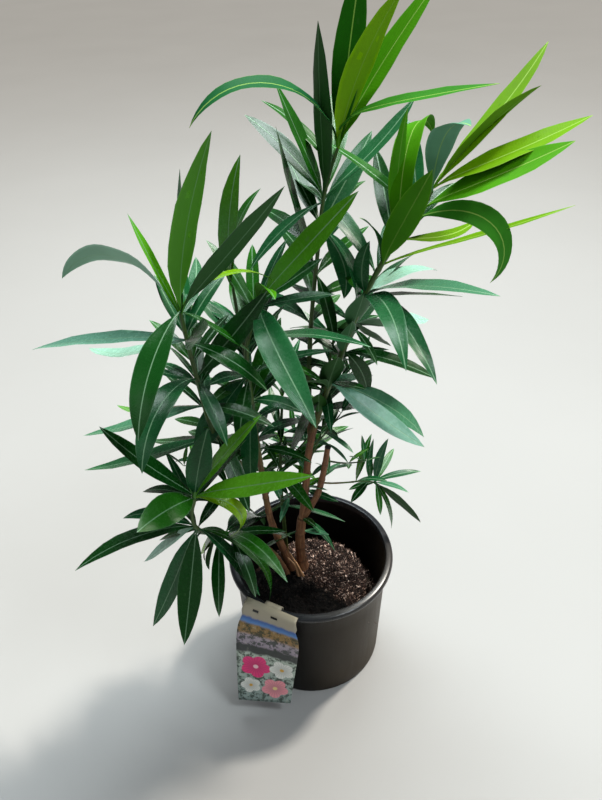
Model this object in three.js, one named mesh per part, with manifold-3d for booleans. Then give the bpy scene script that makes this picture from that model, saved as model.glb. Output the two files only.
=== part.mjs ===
// A potted oleander: a young shrub of long leaves in whorls of three, growing
// from peaty soil in a round plastic nursery pot with a plant label on its rim.
// Millimetres, +Z up, the pot's flat underside at z = 0 and its axis on x = y = 0.
import * as THREE from 'three';
import { mergeVertices } from 'three/addons/utils/BufferGeometryUtils.js';
import Module from 'manifold-3d';

const wasm = await Module();
wasm.setup();

const GAP = 0.35;

// The pot
const POT_HEIGHT = 224.5;
const RIM_RADIUS = 135;
const NECK_RADIUS = 125;
const FOOT_RADIUS = 118;
const WALL = 2.2;
const FLOOR = 2.6;
const LIP_HEIGHT = 12;
const POT_FACETS = 40;
const DRAIN_COUNT = 6;
const DRAIN_RADIUS = 6;
const DRAIN_CIRCLE = 92;

// The soil: a root ball that stands higher than the deep gap behind it
const SOIL_TOP = 172;
const TRENCH_DEPTH = 70;
const ROOT_BALL_RADIUS = 90;
const ROOT_BALL_CENTRE = [4, -14];
const SOIL_LUMP = 2.4;

// The label: a card that hangs over the rim at the front left
const LABEL_WIDTH = 90;
const LABEL_DROP = 196;
const LABEL_THICKNESS = 0.7;
const LABEL_TURN = -21;
const LABEL_DISTANCE = 127.7;
const LABEL_SHIFT = -27;
const LABEL_NARROWING = 0.07;
const TONGUE_WIDTH = 30;
const TONGUE_DROP = 18;

// Blades that make up the masses of leaves
const BLADE_WIDTH = 34;
const BLADE_THICKNESS = 11;
const LIMB_SIDES = 6;

const DEGREE = Math.PI / 180;

// Materials
function material(color, roughness) {
  return new THREE.MeshStandardMaterial({ color, roughness, metalness: 0 });
}

// Solids
function toSolid(geometry) {
  const bare = geometry.clone();
  bare.deleteAttribute('normal');
  bare.deleteAttribute('uv');
  const merged = mergeVertices(bare, 1e-4);
  return new wasm.Manifold(new wasm.Mesh({
    numProp: 3,
    vertProperties: new Float32Array(merged.attributes.position.array),
    triVerts: new Uint32Array(merged.index.array),
  }));
}

function toGeometry(solid) {
  const mesh = solid.getMesh();
  const geometry = new THREE.BufferGeometry();
  geometry.setAttribute('position', new THREE.BufferAttribute(mesh.vertProperties, 3));
  geometry.setIndex(new THREE.BufferAttribute(mesh.triVerts, 1));
  return geometry;
}

function cut(solid, others) {
  return others.reduce((rest, other) => rest.subtract(other), solid);
}

// Where a neighbour has cut a tip off, only the largest piece stays
function largestPiece(solid) {
  const { triVerts, vertProperties } = solid.getMesh();
  const owner = Array.from({ length: vertProperties.length / 3 }, (_, i) => i);
  const root = (i) => {
    let top = i;
    while (owner[top] !== top) top = owner[top];
    owner[i] = top;
    return top;
  };
  for (let t = 0; t < triVerts.length; t += 3) {
    owner[root(triVerts[t + 1])] = root(triVerts[t]);
    owner[root(triVerts[t + 2])] = root(triVerts[t]);
  }
  const corner = (i) => new THREE.Vector3().fromArray(vertProperties, 3 * i);
  const volumes = new Map();
  for (let t = 0; t < triVerts.length; t += 3) {
    const [a, b, c] = [corner(triVerts[t]), corner(triVerts[t + 1]), corner(triVerts[t + 2])];
    const piece = root(triVerts[t]);
    volumes.set(piece, (volumes.get(piece) ?? 0) + a.dot(b.cross(c)));
  }
  const largest = [...volumes].sort((one, other) => other[1] - one[1])[0][0];
  const kept = [];
  for (let t = 0; t < triVerts.length; t += 3) {
    if (root(triVerts[t]) === largest) kept.push(...triVerts.slice(t, t + 3));
  }
  return new wasm.Manifold(new wasm.Mesh({
    numProp: 3,
    vertProperties,
    triVerts: new Uint32Array(kept),
  }));
}

// The pot
function wallRadius(z) {
  const straight = POT_HEIGHT - LIP_HEIGHT;
  return FOOT_RADIUS + (NECK_RADIUS - FOOT_RADIUS) * Math.min(z / straight, 1);
}

function buildPot() {
  const neck = POT_HEIGHT - LIP_HEIGHT;
  const inside = NECK_RADIUS - WALL;
  const outline = [
    [0, 0],
    [FOOT_RADIUS - 4, 0],
    [FOOT_RADIUS, 3],
    [NECK_RADIUS, neck - 3],
    [NECK_RADIUS + 2, neck],
    [RIM_RADIUS - 1.5, neck + 1],
    [RIM_RADIUS, POT_HEIGHT - 5],
    [RIM_RADIUS - 2, POT_HEIGHT - 1],
    [RIM_RADIUS - 5, POT_HEIGHT],
    [inside + 3, POT_HEIGHT - 1.5],
    [inside, neck - 6],
    [wallRadius(FLOOR + 3) - WALL, FLOOR + 3],
    [FOOT_RADIUS - 7, FLOOR],
    [0, FLOOR],
  ].map(([r, z]) => new THREE.Vector2(r, z));
  const shell = new THREE.LatheGeometry(outline, POT_FACETS);
  shell.rotateX(Math.PI / 2);
  const drains = [];
  for (let i = 0; i < DRAIN_COUNT; i++) {
    const angle = (i + 0.5) * (2 * Math.PI / DRAIN_COUNT);
    const drain = new THREE.CylinderGeometry(DRAIN_RADIUS, DRAIN_RADIUS, 4 * FLOOR, 8);
    drain.rotateX(Math.PI / 2);
    drain.translate(DRAIN_CIRCLE * Math.cos(angle), DRAIN_CIRCLE * Math.sin(angle), 0);
    drains.push(toSolid(drain));
  }
  return cut(toSolid(shell), drains);
}

// The soil
function soilHeight(x, y) {
  const [cx, cy] = ROOT_BALL_CENTRE;
  const away = Math.hypot(x - cx, y - cy) / ROOT_BALL_RADIUS;
  const angle = Math.atan2(y - cy, x - cx) / DEGREE;
  const behind = THREE.MathUtils.smoothstep(angle, -60, -15)
    * (1 - THREE.MathUtils.smoothstep(angle, 140, 175));
  const edge = THREE.MathUtils.smoothstep(away, 0.9, 1.22);
  const hollow = 9 * Math.exp(-((x + 22) ** 2 + (y + 32) ** 2) / 260);
  const lumps = Math.sin(x * 0.13 + 1) * Math.cos(y * 0.11) + 0.6 * Math.sin(x * 0.31 + y * 0.27);
  const front = (1 - behind) * 10 * edge;
  return SOIL_TOP + 3 * (1 - away * away) + SOIL_LUMP * lumps - hollow - front
    - behind * TRENCH_DEPTH * edge;
}

function buildSoil() {
  const base = FLOOR + GAP;
  const rings = [1, 0.92, 0.83, 0.74, 0.62, 0.42, 0.2];
  const outline = [[0, base], [0.95, base], ...rings.map((r) => [r, SOIL_TOP]), [0, SOIL_TOP]];
  const soil = new THREE.LatheGeometry(outline.map(([r, z]) => new THREE.Vector2(r, z)), 22);
  soil.rotateX(Math.PI / 2);
  const place = soil.attributes.position;
  for (let i = 0; i < place.count; i++) {
    const share = Math.hypot(place.getX(i), place.getY(i));
    const angle = Math.atan2(place.getY(i), place.getX(i));
    const top = i % outline.length >= 2;
    let z = base;
    let radius = FOOT_RADIUS - WALL - 6;
    if (top) {
      const reach = share * (NECK_RADIUS - 2 * WALL);
      z = soilHeight(reach * Math.cos(angle), reach * Math.sin(angle));
      radius = wallRadius(z) - WALL - 2 * GAP;
    }
    const r = radius * (top ? share : Math.min(share / 0.95, 1));
    place.setXYZ(i, r * Math.cos(angle), r * Math.sin(angle), z);
  }
  return toSolid(soil);
}

// The label: its section runs down outside the pot, and a tongue hooks inside
function labelLean(drop) {
  return 9.5 * (1 - Math.exp(-drop / 1.6)) + 0.18 * drop;
}

function buildLabel(grow) {
  const foldHeight = POT_HEIGHT + GAP + LABEL_THICKNESS;
  const thick = LABEL_THICKNESS / 2 + grow;
  const strip = (route, width) => {
    const edge = (side) => route.map(([out, z], i) => {
      const before = route[Math.max(i - 1, 0)];
      const after = route[Math.min(i + 1, route.length - 1)];
      const along = new THREE.Vector2(after[0] - before[0], after[1] - before[1]).normalize();
      return new THREE.Vector2(out - side * thick * along.y, z + side * thick * along.x);
    });
    const shape = new THREE.Shape([...edge(1), ...edge(-1).reverse()]);
    const sheet = new THREE.ExtrudeGeometry(shape, {
      depth: width + 2 * grow, bevelEnabled: false, steps: 1,
    });
    sheet.translate(0, 0, -width / 2 - grow);
    return sheet;
  };
  const panel = strip([0, 0.8, 2.2, 5, 12, 60, LABEL_DROP]
    .map((drop) => [LABEL_DISTANCE + labelLean(drop), foldHeight - drop]), LABEL_WIDTH);
  const place = panel.attributes.position;
  for (let i = 0; i < place.count; i++) {
    const down = (foldHeight - place.getY(i)) / LABEL_DROP;
    place.setZ(i, place.getZ(i) * (1 + LABEL_NARROWING * (1 - 2 * down)));
  }
  const tongue = strip([
    [LABEL_DISTANCE + 0.6, foldHeight - 0.25],
    [LABEL_DISTANCE - 5, foldHeight + 0.2],
    [LABEL_DISTANCE - 9, foldHeight - 3],
    [LABEL_DISTANCE - 10, foldHeight - TONGUE_DROP],
  ], TONGUE_WIDTH);
  const whole = toSolid(panel).add(toSolid(tongue.translate(0, 0, LABEL_SHIFT)));
  const geometry = toGeometry(whole);
  // section axes: x outwards, y up, z along the card's width
  geometry.rotateX(Math.PI / 2);
  geometry.translate(0, LABEL_SHIFT, 0);
  geometry.rotateZ((LABEL_TURN - 90) * DEGREE);
  return toSolid(geometry);
}

// A limb is a cylinder carried along a smooth route and tapered on the way
function buildLimb({ route, thick, thin, flare = 0, steps = 8 }, grow) {
  const curve = new THREE.CatmullRomCurve3(route.map((point) => new THREE.Vector3(...point)));
  const frames = curve.computeFrenetFrames(steps, false);
  const limb = new THREE.CylinderGeometry(1, 1, 1, LIMB_SIDES, steps);
  const place = limb.attributes.position;
  for (let i = 0; i < place.count; i++) {
    const step = Math.round((place.getY(i) + 0.5) * steps);
    const along = step / steps;
    const spread = 1 + flare * Math.max(0, 1 - along / 0.3) ** 2;
    const radius = THREE.MathUtils.lerp(thick, thin, along) * spread + grow;
    const point = curve.getPointAt(along);
    point.addScaledVector(frames.normals[step], place.getX(i) * radius);
    point.addScaledVector(frames.binormals[step], -place.getZ(i) * radius);
    if (step === 0) point.addScaledVector(frames.tangents[step], -grow);
    if (step === steps) point.addScaledVector(frames.tangents[step], grow);
    place.setXYZ(i, point.x, point.y, point.z);
  }
  return toSolid(limb);
}

// A blade is a flattened spindle from a node of the shoot to a leaf's tip
function buildBlade(node, radius, [azimuth, rise, reach, arch], wide, grow) {
  const out = new THREE.Vector3(1, 0, 0).applyAxisAngle(new THREE.Vector3(0, -1, 0), rise * DEGREE);
  out.applyAxisAngle(new THREE.Vector3(0, 0, 1), azimuth * DEGREE);
  const root = node.clone().addScaledVector(out, radius / 2);
  const tip = node.clone().addScaledVector(out, reach);
  const middle = root.clone().lerp(tip, 0.5);
  middle.z += arch;
  const spine = new THREE.QuadraticBezierCurve3(root, middle, tip);
  const turn = (azimuth + 90) * DEGREE;
  const side = new THREE.Vector3(Math.cos(turn), Math.sin(turn), 0);
  const blade = new THREE.SphereGeometry(1, 4, 4);
  const place = blade.attributes.position;
  for (let i = 0; i < place.count; i++) {
    const t = (1 - place.getY(i)) / 2;
    const along = spine.getTangent(t);
    const over = new THREE.Vector3().crossVectors(along, side);
    const fullness = Math.max(Math.hypot(place.getX(i), place.getZ(i)), 0.2);
    const point = spine.getPoint(t);
    const full = Math.min(1, 0.4 + 1.3 * t);
    point.addScaledVector(side, place.getX(i) * (full * wide / 2 + grow / fullness));
    point.addScaledVector(over, place.getZ(i) * (full * BLADE_THICKNESS / 2 + grow / fullness));
    if (t < 0.01) point.addScaledVector(along, -grow);
    if (t > 0.99) point.addScaledVector(along, 2 * grow);
    place.setXYZ(i, point.x, point.y, point.z);
  }
  return toSolid(blade);
}

// A mass is a body round the shoot with blades that reach out to the leaf tips
function buildMass({ node, body, blades }, grow) {
  const centre = new THREE.Vector3(...node);
  const [radius, height, below = 0] = body;
  const core = new THREE.SphereGeometry(1, 6, 3);
  core.rotateX(Math.PI / 2);
  core.scale(radius + grow, radius + grow, height + grow);
  core.translate(centre.x, centre.y, centre.z - below);
  let mass = toSolid(core);
  blades.forEach((blade, i) => {
    const wide = BLADE_WIDTH * (0.85 + 0.3 * Math.abs(Math.sin(7 * i + centre.x)));
    mass = mass.add(buildBlade(centre, radius, blade, wide, grow));
  });
  return mass;
}

// Stems and boughs, from the soil up: route in mm, radius at foot and at tip
const LIMBS = {
  main_stem: {
    route: [[-13, 8, 166], [-16, 8, 205], [-17, 8, 245], [-13, 10, 293]],
    thick: 8.4, thin: 7.4, flare: 0.45, steps: 7,
  },
  right_bough: {
    route: [[-12, 10, 293], [-7, 12, 340], [2, 15, 440], [20, 15, 519], [48, 12, 608],
      [72, 4, 690], [101, -3, 757], [131, -9, 806], [140, -12, 826]],
    thick: 6.2, thin: 2.6, steps: 11,
  },
  cut_branch: {
    route: [[-11, 9, 293], [0, 6, 318], [13, 4, 352], [22, 4, 399], [28, 4, 445]],
    thick: 5.4, thin: 4.2, steps: 6,
  },
  top_bough: {
    route: [[2, 17, 440], [2, 30, 512], [4, 41, 590], [8, 45, 650], [15, 45, 723],
      [22, 45, 795], [31, 45, 835], [39, 45, 858]],
    thick: 3.9, thin: 1.9, steps: 9,
  },
  left_stem: {
    route: [[-25, 6, 166], [-44, 4, 232], [-62, -2, 300], [-71, -8, 414], [-77, -10, 540],
      [-78, -12, 627], [-69, -15, 666], [-60, -18, 690]],
    thick: 6, thin: 2.6, flare: 0.4, steps: 10,
  },
  left_bough: {
    route: [[-71, -7, 378], [-91, -30, 435], [-114, -45, 492], [-127, -55, 531],
      [-135, -68, 610], [-141, -77, 690], [-143, -80, 714]],
    thick: 4.2, thin: 2.3, steps: 10,
  },
  inner_bough: {
    route: [[-78, -12, 602], [-85, 0, 645], [-91, 10, 698]],
    thick: 2.8, thin: 1.8, steps: 5,
  },
  low_shoot: {
    route: [[-38, -4, 166], [-60, -22, 245], [-92, -50, 312], [-121, -81, 362],
      [-147, -100, 400], [-149, -109, 450]],
    thick: 4.4, thin: 2.3, flare: 0.3, steps: 10,
  },
  back_stem: {
    route: [[-40, 28, 166], [-43, 33, 262], [-45, 40, 350], [-42, 70, 420], [-38, 97, 475]],
    thick: 3.4, thin: 2, flare: 0.3, steps: 8,
  },
  rear_bough: {
    route: [[8, 17, 470], [18, 48, 500], [32, 84, 530], [41, 108, 566]],
    thick: 3.2, thin: 2, steps: 5,
  },
  side_twig: {
    route: [[20, 5, 372], [40, 20, 356], [67, 30, 348], [88, 35, 345], [106, 39, 337]],
    thick: 1.6, thin: 1.1, steps: 6,
  },
};

// Masses of leaves: node on the shoot, body radius and half height, and for
// each blade its azimuth and rise in degrees, its reach and its arch in mm
const MASSES = {
  top_head: {
    node: [40, 45, 865], body: [12, 20],
    blades: [[175, 0, 175, 110], [5, 20, 190, 0], [20, 84, 186, 0], [-25, 65, 182, 5],
      [10, 55, 200, -10], [110, 50, 150, 10]],
  },
  top_whorl: {
    node: [22, 45, 795], body: [11, 24, 8],
    blades: [[180, 85, 195, 0], [160, 65, 145, 0], [15, 40, 155, -15], [45, 30, 115, 10],
      [-160, -40, 125, 15], [-75, -50, 125, 20], [105, 5, 140, 20]],
  },
  top_skirt: {
    node: [13, 45, 705], body: [11, 26],
    blades: [[140, 70, 185, -10], [-55, -65, 100, 5], [75, 25, 150, 25], [110, -30, 120, 20]],
  },
  right_head: {
    node: [140, -12, 830], body: [14, 24],
    blades: [[0, 20, 178, 0], [-12, 14, 150, 0], [15, 55, 165, 0], [-15, 55, 145, 0],
      [45, 40, 95, 50], [-22, -42, 140, 75], [90, 35, 150, 10]],
  },
  right_whorl: {
    node: [108, -4, 764], body: [13, 24],
    blades: [[55, 76, 150, 5], [-82, 52, 150, 5], [5, 10, 205, -5], [10, 32, 140, -60],
      [120, 20, 110, 20], [85, -5, 130, 25]],
  },
  right_crown: {
    node: [76, 4, 694], body: [14, 24],
    blades: [[38, 5, 130, 25], [-2, -3, 182, 20], [-45, -50, 120, 20], [-10, -50, 170, 15],
      [40, -35, 168, -10], [100, 10, 140, 25]],
  },
  right_skirt: {
    node: [55, 10, 624], body: [13, 28],
    blades: [[155, 68, 145, 10], [-175, 10, 105, 20], [48, -30, 138, 0], [-10, -28, 130, 15],
      [-75, -48, 90, 15], [95, -10, 130, 20]],
  },
  right_foot: {
    node: [30, 14, 545], body: [13, 26],
    blades: [[5, -38, 192, 8], [25, -42, 220, 20], [-50, 25, 85, 0], [-115, 35, 110, 5],
      [100, -20, 120, -10]],
  },
  centre_head: {
    node: [-58, -18, 696], body: [14, 24],
    blades: [[-15, 50, 192, 0], [20, 12, 98, 5], [-55, -50, 182, 5], [65, 40, 95, 10],
      [120, 0, 110, 25]],
  },
  centre_whorl: {
    node: [-77, -11, 606], body: [13, 34],
    blades: [[-160, -58, 165, 5], [-135, 0, 90, 10], [40, 10, 110, 5], [95, 5, 140, 20],
      [140, 30, 90, 5]],
  },
  centre_foot: {
    node: [-79, -10, 535], body: [12, 24],
    blades: [[5, 5, 90, 10], [155, -45, 112, -10], [70, -5, 130, 20], [-70, -30, 90, 10]],
  },
  inner_head: {
    node: [-91, 10, 706], body: [10, 18],
    blades: [[45, 79, 162, 5], [62, 45, 122, 20], [120, 40, 120, 10]],
  },
  left_head: {
    node: [-143, -80, 722], body: [14, 22],
    blades: [[10, 75, 208, 5], [5, 45, 188, -5], [88, 50, 120, 5], [160, 35, 140, 50],
      [-130, -58, 160, 25], [25, 8, 115, 40]],
  },
  left_whorl: {
    node: [-139, -73, 652], body: [13, 34],
    blades: [[175, 4, 195, 15], [162, -8, 155, -20], [-55, 30, 120, 0], [12, 30, 115, -5],
      [-148, -48, 160, 30], [95, -5, 130, 25]],
  },
  left_skirt: {
    node: [-130, -60, 550], body: [12, 34],
    blades: [[170, -14, 182, -5], [152, -12, 170, -20], [170, -30, 220, -10], [-80, -20, 100, 15],
      [80, -20, 110, 10]],
  },
  low_head: {
    node: [-149, -110, 462], body: [14, 20],
    blades: [[175, 45, 162, -5], [-15, 23, 188, 40], [0, 54, 168, 5], [35, 75, 115, 0],
      [-125, 20, 85, 10], [110, 10, 110, 15]],
  },
  low_whorl: {
    node: [-151, -102, 408], body: [13, 22],
    blades: [[172, 10, 125, 25], [-176, -28, 182, 10], [165, -45, 130, 0], [-142, -60, 185, -5],
      [-115, -65, 195, -15], [-15, -52, 165, 35]],
  },
  low_skirt: {
    node: [-119, -79, 360], body: [12, 18],
    blades: [[-128, -76, 172, 0], [175, -70, 110, 5], [-30, -62, 165, 20], [38, -22, 112, 40],
      [95, -20, 110, 10]],
  },
  back_head: {
    node: [-38, 98, 478], body: [12, 22],
    blades: [[90, 50, 140, 5], [30, 35, 120, 10], [160, 30, 130, 15], [120, -10, 140, 25],
      [50, -25, 130, 20]],
  },
  rear_head: {
    node: [42, 110, 572], body: [12, 22],
    blades: [[80, 60, 140, 5], [35, 20, 130, 20], [130, 30, 140, 15], [95, -15, 140, 25]],
  },
  side_tuft: {
    node: [110, 40, 336], body: [7, 8],
    blades: [[10, 5, 80, 10], [5, -48, 132, 0], [-15, -66, 105, 5], [50, 66, 80, 5],
      [165, 60, 90, 5]],
  },
};

// Everything is put together, each solid cut clear of those before it
const oleander = new THREE.Group();
oleander.name = 'potted_oleander';

function addNode(name, solid, look) {
  const mesh = new THREE.Mesh(toGeometry(solid), look);
  mesh.geometry.computeVertexNormals();
  mesh.name = name;
  oleander.add(mesh);
}

const pot = buildPot();
addNode('pot', pot, material(0x16171a, 0.42));
addNode('plant_label', buildLabel(0), material(0xb9b3a2, 0.55));

const stems = [];
for (const [name, spec] of Object.entries(LIMBS)) {
  const limb = largestPiece(cut(buildLimb(spec, 0), stems));
  stems.push(buildLimb(spec, GAP));
  addNode(name, limb, material(name === 'main_stem' ? 0x5b3a26 : 0x5f4a2c, 0.8));
}

addNode('soil', cut(buildSoil(), stems), material(0x2c211a, 0.95));

const rim = new THREE.CylinderGeometry(RIM_RADIUS + 1, RIM_RADIUS + 1, POT_HEIGHT + 1, 24);
rim.rotateX(Math.PI / 2);
rim.translate(0, 0, POT_HEIGHT / 2);
const inTheWay = [...stems, toSolid(rim), buildLabel(1)];
for (const [name, spec] of Object.entries(MASSES)) {
  const mass = largestPiece(cut(buildMass(spec, 0), inTheWay));
  inTheWay.push(buildMass(spec, GAP));
  addNode(name, mass, material(name.startsWith('top') || name.startsWith('right')
    ? 0x3f7a1e : 0x24502a, 0.5));
}

export default oleander;
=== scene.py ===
# A potted oleander: a young shrub of long leaves in whorls, rooted in peaty soil in a
# black nursery pot, with a plant label hooked over the rim. Metres, +Z up, and the
# camera looks along +Y and down. Sizes given in millimetres are turned by MM.
import math
import random
import bpy
import numpy as np
from mathutils import Matrix, Vector, noise


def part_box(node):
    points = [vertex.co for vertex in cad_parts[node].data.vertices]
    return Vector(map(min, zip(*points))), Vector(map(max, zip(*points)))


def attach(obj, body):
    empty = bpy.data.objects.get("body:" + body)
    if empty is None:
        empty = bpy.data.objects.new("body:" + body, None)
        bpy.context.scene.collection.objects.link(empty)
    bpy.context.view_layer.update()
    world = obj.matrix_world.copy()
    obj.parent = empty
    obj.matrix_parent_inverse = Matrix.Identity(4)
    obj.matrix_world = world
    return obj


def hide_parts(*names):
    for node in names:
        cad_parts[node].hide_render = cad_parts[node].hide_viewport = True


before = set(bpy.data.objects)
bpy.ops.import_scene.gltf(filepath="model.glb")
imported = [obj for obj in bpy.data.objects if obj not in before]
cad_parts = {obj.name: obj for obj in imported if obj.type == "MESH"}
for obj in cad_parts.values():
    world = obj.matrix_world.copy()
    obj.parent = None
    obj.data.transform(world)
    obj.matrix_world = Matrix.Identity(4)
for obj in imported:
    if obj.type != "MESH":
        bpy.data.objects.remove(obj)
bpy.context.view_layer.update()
MM = 0.001
SEED = 11
POT_LOW, POT_HIGH = (np.array(corner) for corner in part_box("pot"))


# Node trees
VECTOR = "FLOAT_VECTOR"


def operator(operation):
    """The two methods, plain and reflected, for one of Python's operators."""
    return (lambda self, other: self.pair(operation, self, other),
            lambda self, other: self.pair(operation, other, self))


class Socket:
    """An output of a node, on which Python's operators add maths nodes."""

    def __init__(self, tree, node, out=0):
        self.tree, self.node = tree, node
        shown = [s for s in node.outputs if not s.is_unavailable]
        self.out = shown[out] if isinstance(out, int) else next(s for s in shown if s.name == out)

    def part(self, name):
        return Socket(self.tree, self.node, name)

    def pair(self, operation, one, two):
        vectors = [v for v in (one, two) if isinstance(v, Socket) and v.out.type == "VECTOR"]
        if not vectors:
            return self.tree.math(operation, one, two)
        if operation == "MULTIPLY" and len(vectors) == 1:
            return self.tree.lit(vectors[0], two if vectors[0] is one else one)
        return self.tree.vector_math(operation, one, two)

    __add__, __radd__ = operator("ADD")
    __sub__, __rsub__ = operator("SUBTRACT")
    __mul__, __rmul__ = operator("MULTIPLY")
    __truediv__, __rtruediv__ = operator("DIVIDE")
    __pow__, __rpow__ = operator("POWER")

    def __neg__(self):
        return self * -1.0

    def __abs__(self):
        return self.tree.math("ABSOLUTE", self)

    def sine(self):
        return self.tree.math("SINE", self)

    def axes(self):
        parts = self.tree.add("ShaderNodeSeparateXYZ", {}, {0: self})
        return parts, parts.part("Y"), parts.part("Z")

    def step(self, low, high):
        """0 below low and 1 above high, smooth between; low may be the larger one."""
        return self.tree.add("ShaderNodeMapRange", {"interpolation_type": "SMOOTHSTEP"},
                             {"Value": self, "From Min": low, "From Max": high})


class Tree:
    """A node tree in which every node comes from one method."""

    def __init__(self, nodes):
        self.own = nodes

    def add(self, kind, settings=None, inputs=None, out=0):
        node = self.own.nodes.new(kind)
        for name, value in (settings or {}).items():
            if name == "stops":
                self.set_stops(node.color_ramp, value)
            else:
                setattr(node, name, value)
        for key, value in (inputs or {}).items():
            self.give(node, key, value)
        return Socket(self, node, out)

    def give(self, node, key, value):
        shown = [s for s in node.inputs if not s.is_unavailable]
        socket = shown[key] if isinstance(key, int) else next(s for s in shown if s.name == key)
        if isinstance(value, Socket):
            self.own.links.new(value.out, socket)
        elif isinstance(value, tuple) and socket.type == "RGBA":
            socket.default_value = (*value, 1.0)
        else:
            socket.default_value = value

    def set_stops(self, ramp, stops):
        while len(ramp.elements) < len(stops):
            ramp.elements.new(1.0)
        for element, (place, color) in zip(ramp.elements, stops):
            element.position = place
            element.color = (*color, 1.0)

    def math(self, operation, *values):
        return self.add("ShaderNodeMath", {"operation": operation}, dict(enumerate(values)))

    def vector_math(self, operation, *values):
        return self.add("ShaderNodeVectorMath", {"operation": operation}, dict(enumerate(values)))

    def vector(self, *parts):
        return self.add("ShaderNodeCombineXYZ", {}, dict(enumerate(parts)))

    def place(self):
        return self.add("ShaderNodeTexCoord", out="Object")

    def carried(self, name, out="Fac"):
        return self.add("ShaderNodeAttribute", {"attribute_name": name}, out=out)

    def noise(self, vector, scale, detail=3.0, roughness=0.5):
        return self.add("ShaderNodeTexNoise", {}, {"Vector": vector, "Scale": scale,
                                                   "Detail": detail, "Roughness": roughness})

    def stretched(self, vector, scale):
        return self.add("ShaderNodeMapping", {}, {"Vector": vector, "Scale": scale})

    def ramp(self, factor, *stops):
        return self.add("ShaderNodeValToRGB", {"stops": stops}, {0: factor})

    def blend(self, share, one, two):
        return self.add("ShaderNodeMix", {"data_type": "RGBA"},
                        {"Factor": share, "A": one, "B": two})

    def lit(self, color, amount):
        """A colour or vector made larger or smaller by a number."""
        return self.vector_math("SCALE", color, amount)

    def bump(self, height, distance, strength=1.0):
        return self.add("ShaderNodeBump", {}, {"Height": height, "Distance": distance,
                                               "Strength": strength})


def finish(name, look, **settings):
    """A material whose look, a function of the tree, gives the shader's inputs."""
    material = bpy.data.materials.new(name)
    material.use_nodes = True
    tree = Tree(material.node_tree)
    shader = material.node_tree.nodes["Principled BSDF"]
    for key, value in look(tree, **settings).items():
        tree.give(shader, key, value)
    return material


class Growth(Tree):
    """A Geometry Nodes tree with named inputs, whose output gets a material."""

    KINDS = {float: "NodeSocketFloat", int: "NodeSocketInt"}

    def __init__(self, name, **sizes):
        super().__init__(bpy.data.node_groups.new(name, "GeometryNodeTree"))
        face = self.own.interface
        face.new_socket("Geometry", in_out="INPUT", socket_type="NodeSocketGeometry")
        for label, value in sizes.items():
            socket = face.new_socket(label, in_out="INPUT", socket_type=self.KINDS[type(value)])
            socket.default_value = value
        face.new_socket("material", in_out="INPUT", socket_type="NodeSocketMaterial")
        face.new_socket("Geometry", in_out="OUTPUT", socket_type="NodeSocketGeometry")
        self.given = self.add("NodeGroupInput")

    def keep(self, geometry, name, value, kind="FLOAT"):
        return self.add("GeometryNodeStoreNamedAttribute", {"data_type": kind, "domain": "POINT"},
                        {"Geometry": geometry, "Name": name, "Value": value})

    def read(self, name, kind="FLOAT"):
        return self.add("GeometryNodeInputNamedAttribute", {"data_type": kind}, {"Name": name})

    def section(self):
        """A round section that remembers its own shape."""
        ring = self.add("GeometryNodeCurvePrimitiveCircle", {"mode": "RADIUS"},
                        {"Resolution": self.given.part("section_points"), "Radius": 1.0})
        return self.keep(ring, "section", self.add("GeometryNodeInputPosition"), VECTOR)

    def shade(self, geometry, domain, where=True, smooth=True):
        return self.add("GeometryNodeSetShadeSmooth", {"domain": domain},
                        {"Geometry": geometry, "Selection": where, "Shade Smooth": smooth})

    def close(self, geometry, spent=()):
        for name in spent:
            geometry = self.add("GeometryNodeRemoveAttribute", {},
                                {"Geometry": geometry, "Name": name})
        whole = self.add("GeometryNodeRealizeInstances", {}, {"Geometry": geometry})
        done = self.add("GeometryNodeSetMaterial", {},
                        {"Geometry": whole, "Material": self.given.part("material")})
        self.own.links.new(done.out, self.own.nodes.new("NodeGroupOutput").inputs[0])

    def grow(self, name, mesh, **values):
        """The plain mesh object that the tree makes from a mesh."""
        piece = placed(name, mesh)
        modifier = piece.modifiers.new("growth", "NODES")
        modifier.node_group = self.own
        for item in self.own.interface.items_tree:
            if item.in_out == "INPUT" and item.name in values:
                modifier[item.identifier] = values[item.name]
        return settled(piece)


def placed(name, data):
    """An object of the data, linked to the scene."""
    thing = bpy.data.objects.new(name, data)
    bpy.context.scene.collection.objects.link(thing)
    return thing


def settled(piece):
    """The piece with its modifiers worked into a plain mesh."""
    bpy.context.view_layer.update()
    worked = piece.evaluated_get(bpy.context.evaluated_depsgraph_get())
    mesh = bpy.data.meshes.new_from_object(worked)
    piece.modifiers.clear()
    piece.data = mesh
    mesh.name = piece.name
    return piece


def mesh_of(name, places, faces, smooth=True):
    mesh = bpy.data.meshes.new(name)
    mesh.from_pydata([tuple(p) for p in places], [], faces)
    if smooth:
        mesh.shade_smooth()
    else:
        mesh.shade_flat()
    return mesh


def object_of(name, mesh, material):
    mesh.materials.append(material)
    return placed(name, mesh)


def threads(name, lines):
    """A mesh of open lines, each a dict of arrays that ride on its points."""
    counts = [len(line["place"]) for line in lines]
    starts = np.cumsum([0] + counts[:-1])
    edges = [(int(s + i), int(s + i + 1)) for s, n in zip(starts, counts) for i in range(n - 1)]
    mesh = bpy.data.meshes.new(name)
    mesh.from_pydata(np.concatenate([line["place"] for line in lines]).tolist(), edges, [])
    for key in lines[0]:
        if key == "place":
            continue
        values = np.concatenate([np.asarray(line[key], dtype=np.float32) for line in lines])
        if values.ndim == 1:
            mesh.attributes.new(key, "FLOAT", "POINT").data.foreach_set("value", values)
        else:
            mesh.attributes.new(key, VECTOR, "POINT").data.foreach_set("vector", values.ravel())
    return mesh


def hand_over(piece, slot, *nodes):
    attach(piece, "root")
    if nodes:
        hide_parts(*nodes)


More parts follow.
